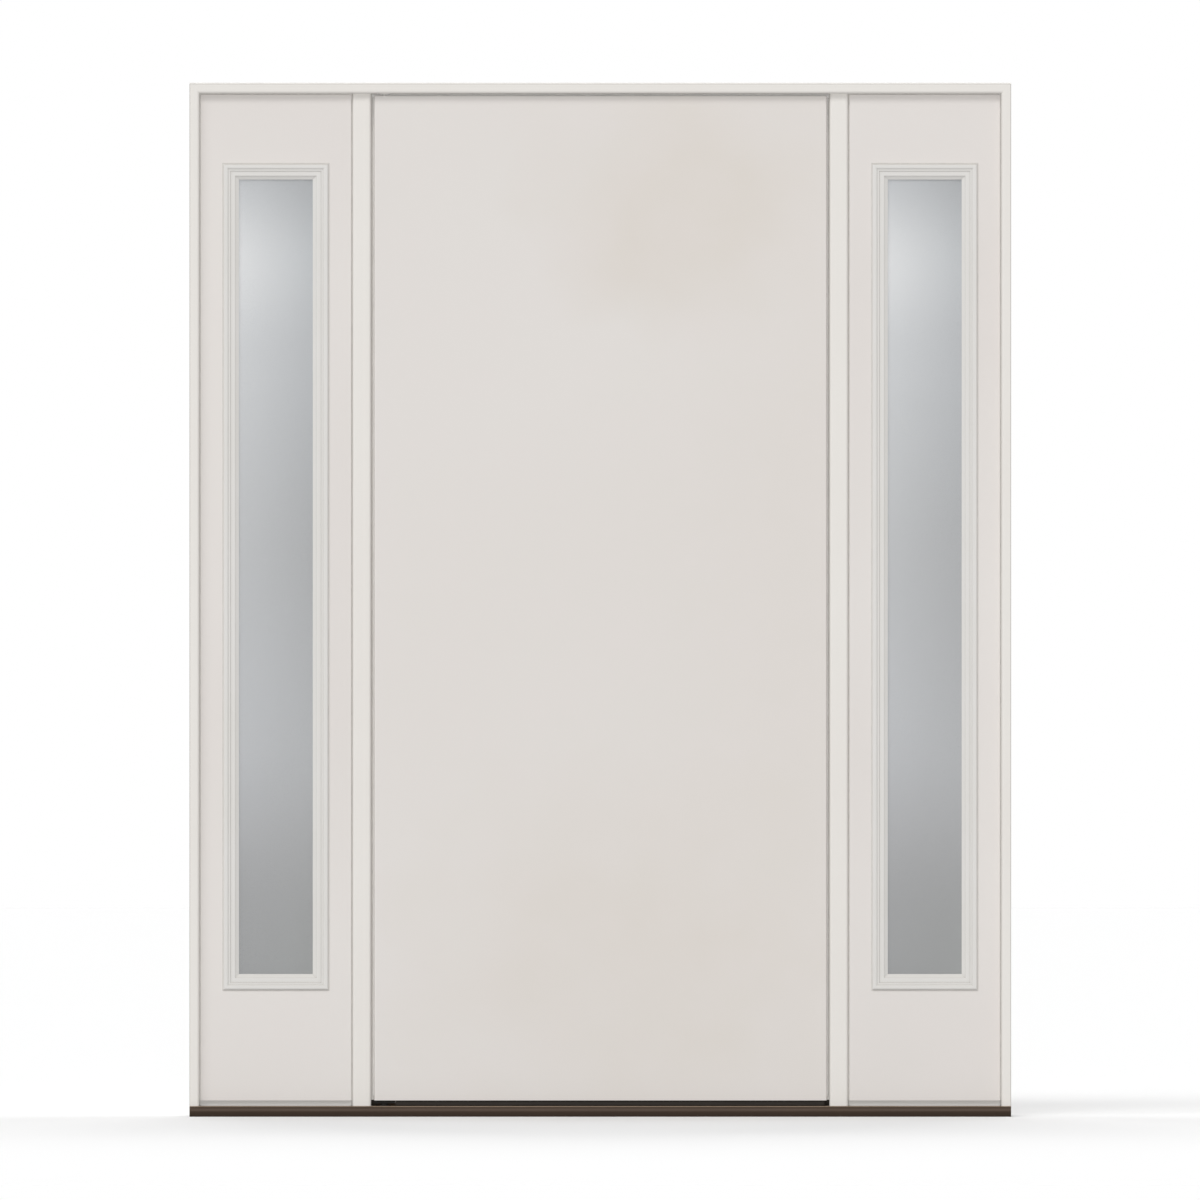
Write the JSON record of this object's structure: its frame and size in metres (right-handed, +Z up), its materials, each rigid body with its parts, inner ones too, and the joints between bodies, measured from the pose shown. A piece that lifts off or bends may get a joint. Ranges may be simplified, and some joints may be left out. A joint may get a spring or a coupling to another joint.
{
  "type": "door with sidelights",
  "caption": "Flush door leaf on concealed pivots that opens outward between fixed glazed sidelights with moulded surrounds, in a mitred frame on a round-nosed metal sill.",
  "frame": {"origin": "middle of the sill's underside, at half its length and half its depth", "axes": "+X to the right seen from outside, +Y from outdoors to indoors through the doorway, +Z up"},
  "size_m": [1.648, 0.14, 2.072],
  "materials": {
    "frame_paint": "satin paint",
    "panel_skin": "smooth primed skin",
    "panel_core": "rigid foam",
    "leaf_edge": "satin paint",
    "surround_plastic": "satin moulded",
    "glass": "smooth",
    "spacer_metal": "mill finish",
    "sill_metal": "bronze anodised",
    "sill_composite": "matte",
    "seal": "matte",
    "sweep_rubber": "matte",
    "base_strip": "matte",
    "pivot_metal": "satin dark"
  },
  "bodies": {
    "frame": {"left_jamb": "frame_paint", "right_jamb": "frame_paint", "head_jamb": "frame_paint", "left_mullion": "frame_paint", "right_mullion": "frame_paint", "sill_deck": "sill_metal", "sill_substrate": "sill_composite", "threshold_bumper": "sill_metal", "door_stops": "frame_paint", "left_sidelight_stops": "frame_paint", "right_sidelight_stops": "frame_paint", "door_weatherstrip": "seal", "top_pivot_pin": "pivot_metal", "bottom_pivot_pin": "pivot_metal", "left_sidelight_outer_skin": "panel_skin", "left_sidelight_core": "panel_core", "left_sidelight_inner_skin": "panel_skin", "left_outer_surround": "surround_plastic", "left_inner_surround": "surround_plastic", "left_outer_pane": "glass", "left_inner_pane": "glass", "left_glass_spacer": "spacer_metal", "left_sidelight_base_strip": "base_strip", "right_sidelight_outer_skin": "panel_skin", "right_sidelight_core": "panel_core", "right_sidelight_inner_skin": "panel_skin", "right_outer_surround": "surround_plastic", "right_inner_surround": "surround_plastic", "right_outer_pane": "glass", "right_inner_pane": "glass", "right_glass_spacer": "spacer_metal", "right_sidelight_base_strip": "base_strip"},
    "door_leaf": {"door_outer_skin": "panel_skin", "door_inner_skin": "panel_skin", "door_hinge_stile": "leaf_edge", "door_lock_stile": "leaf_edge", "door_top_rail": "leaf_edge", "door_bottom_rail": "leaf_edge", "door_core": "panel_core", "door_sweep": "sweep_rubber", "door_top_pivot_bush": "pivot_metal", "door_bottom_pivot_shoe": "pivot_metal"}
  },
  "joints": [
    {"name": "door_swing", "type": "hinge", "parent": "frame", "child": "door_leaf", "pos_m": [-0.4335, -0.019, 1.036], "axis": [0, 0, -1], "range_deg": [0, 110]}
  ]
}
